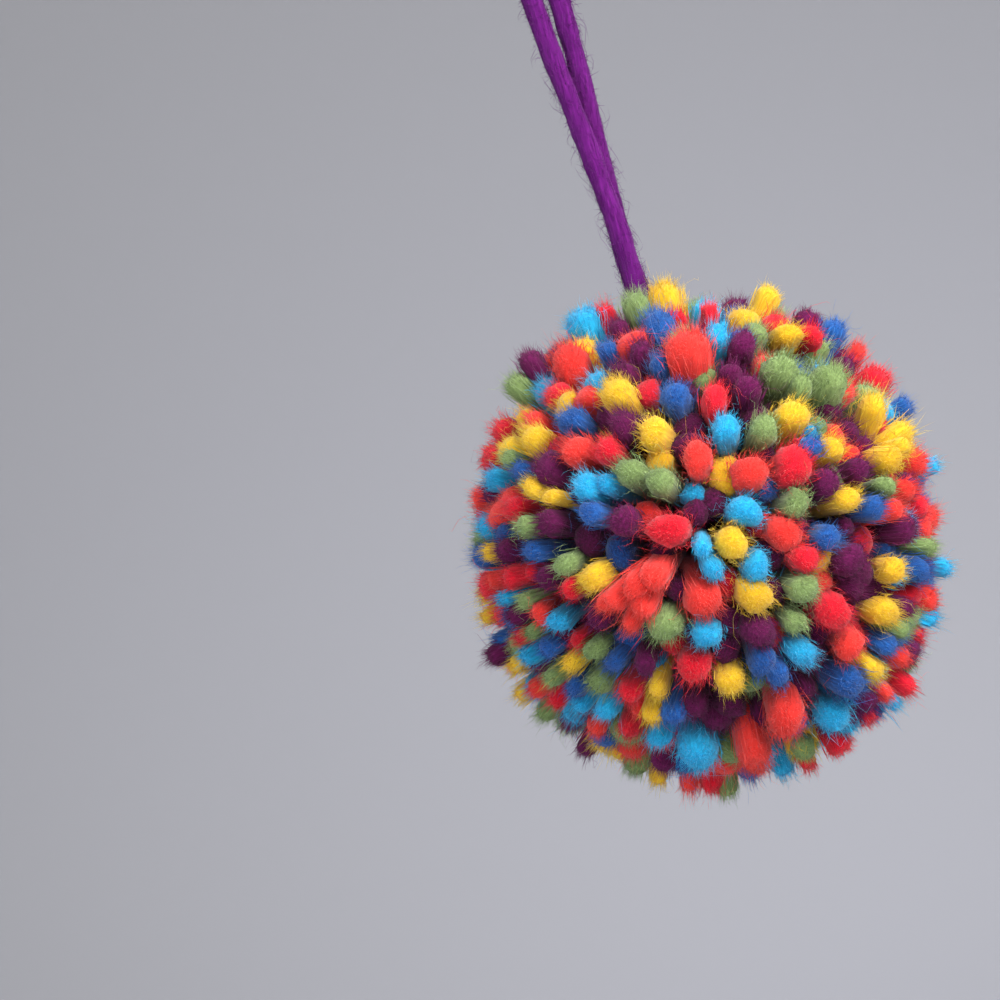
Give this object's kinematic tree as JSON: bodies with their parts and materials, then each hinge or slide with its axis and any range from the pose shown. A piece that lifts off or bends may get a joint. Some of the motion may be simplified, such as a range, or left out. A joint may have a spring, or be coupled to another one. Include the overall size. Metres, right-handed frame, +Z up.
{
  "type": "yarn pom pom",
  "caption": "Round pom pom of cut wool yarn in seven mixed colours, hanging on the two knotted strands of its purple tie.",
  "frame": {"origin": "underside of the hanging knot, midway between the two strands, where a hook or branch passes between them", "axes": "+Z up along the two strands, from the ball to the hang point; the viewed side of the ball faces -Y"},
  "size_m": [0.088, 0.0889, 0.1712],
  "materials": {
    "mixed_yarn": "matt cut yarn in seven colours",
    "purple_yarn": "matt plied yarn with short stray hairs",
    "red_yarn": "matt cut yarn",
    "coral_yarn": "matt cut yarn",
    "yellow_yarn": "matt cut yarn",
    "green_yarn": "matt cut yarn",
    "turquoise_yarn": "matt cut yarn",
    "blue_yarn": "matt cut yarn",
    "aubergine_yarn": "matt cut yarn"
  },
  "bodies": {
    "root": {"pom_pom": "mixed_yarn", "strand_left": "purple_yarn", "strand_right": "purple_yarn", "hanger_knot": "purple_yarn"}
  },
  "joints": []
}
